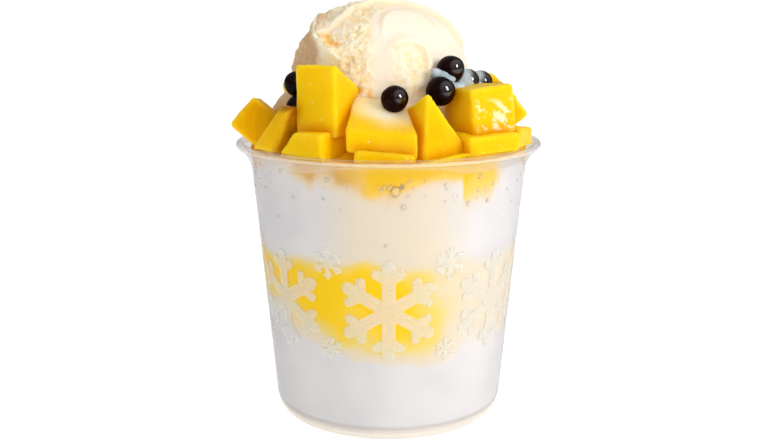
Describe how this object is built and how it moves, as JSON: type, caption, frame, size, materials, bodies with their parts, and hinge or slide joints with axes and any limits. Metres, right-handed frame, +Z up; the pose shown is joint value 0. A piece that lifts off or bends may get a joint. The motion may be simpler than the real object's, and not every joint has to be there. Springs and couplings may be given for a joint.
{
  "type": "mango shaved ice dessert in a plastic cup",
  "caption": "Clear tapered plastic cup filled with shaved ice and a band of mango sauce, heaped with mango chunks, tapioca pearls and a scoop of ice cream.",
  "frame": {"origin": "on the table, under the middle of the cup", "axes": "+Z up along the cup's axis, -Y towards the side with the large chunk of mango, +X to that side's right"},
  "size_m": [0.107, 0.107, 0.1458],
  "materials": {
    "clear_plastic": "thin clear polypropylene, slightly hazy, smooth and glossy, with a little condensation",
    "shaved_ice": "packed fine shaved ice, white, granular and translucent, wet at the wall",
    "mango_sauce": "shaved ice soaked with mango sauce, soft yellow, fading to white at both edges",
    "ice_cream": "pale cream coloured ice cream, satin and smooth where the scoop wiped it, crumbly where it tore",
    "mango_flesh": "ripe mango flesh, deep yellow, wet and slightly translucent with fine fibres",
    "tapioca": "cooked tapioca pearls, near black brown, glossy wet"
  },
  "bodies": {
    "root": {"cup": "clear_plastic", "ice_cream_scoop": "ice_cream", "ice_lower": "shaved_ice", "ice_upper": "shaved_ice", "mango_chunk_1": "mango_flesh", "mango_chunk_10": "mango_flesh", "mango_chunk_11": "mango_flesh", "mango_chunk_12": "mango_flesh", "mango_chunk_13": "mango_flesh", "mango_chunk_14": "mango_flesh", "mango_chunk_15": "mango_flesh", "mango_chunk_16": "mango_flesh", "mango_chunk_17": "mango_flesh", "mango_chunk_18": "mango_flesh", "mango_chunk_19": "mango_flesh", "mango_chunk_2": "mango_flesh", "mango_chunk_20": "mango_flesh", "mango_chunk_21": "mango_flesh", "mango_chunk_22": "mango_flesh", "mango_chunk_23": "mango_flesh", "mango_chunk_24": "mango_flesh", "mango_chunk_25": "mango_flesh", "mango_chunk_26": "mango_flesh", "mango_chunk_3": "mango_flesh", "mango_chunk_4": "mango_flesh", "mango_chunk_5": "mango_flesh", "mango_chunk_6": "mango_flesh", "mango_chunk_7": "mango_flesh", "mango_chunk_8": "mango_flesh", "mango_chunk_9": "mango_flesh", "mango_sauce_band": "mango_sauce", "tapioca_pearl_1": "tapioca", "tapioca_pearl_10": "tapioca", "tapioca_pearl_2": "tapioca", "tapioca_pearl_3": "tapioca", "tapioca_pearl_4": "tapioca", "tapioca_pearl_5": "tapioca", "tapioca_pearl_6": "tapioca", "tapioca_pearl_7": "tapioca", "tapioca_pearl_8": "tapioca", "tapioca_pearl_9": "tapioca"}
  },
  "joints": []
}
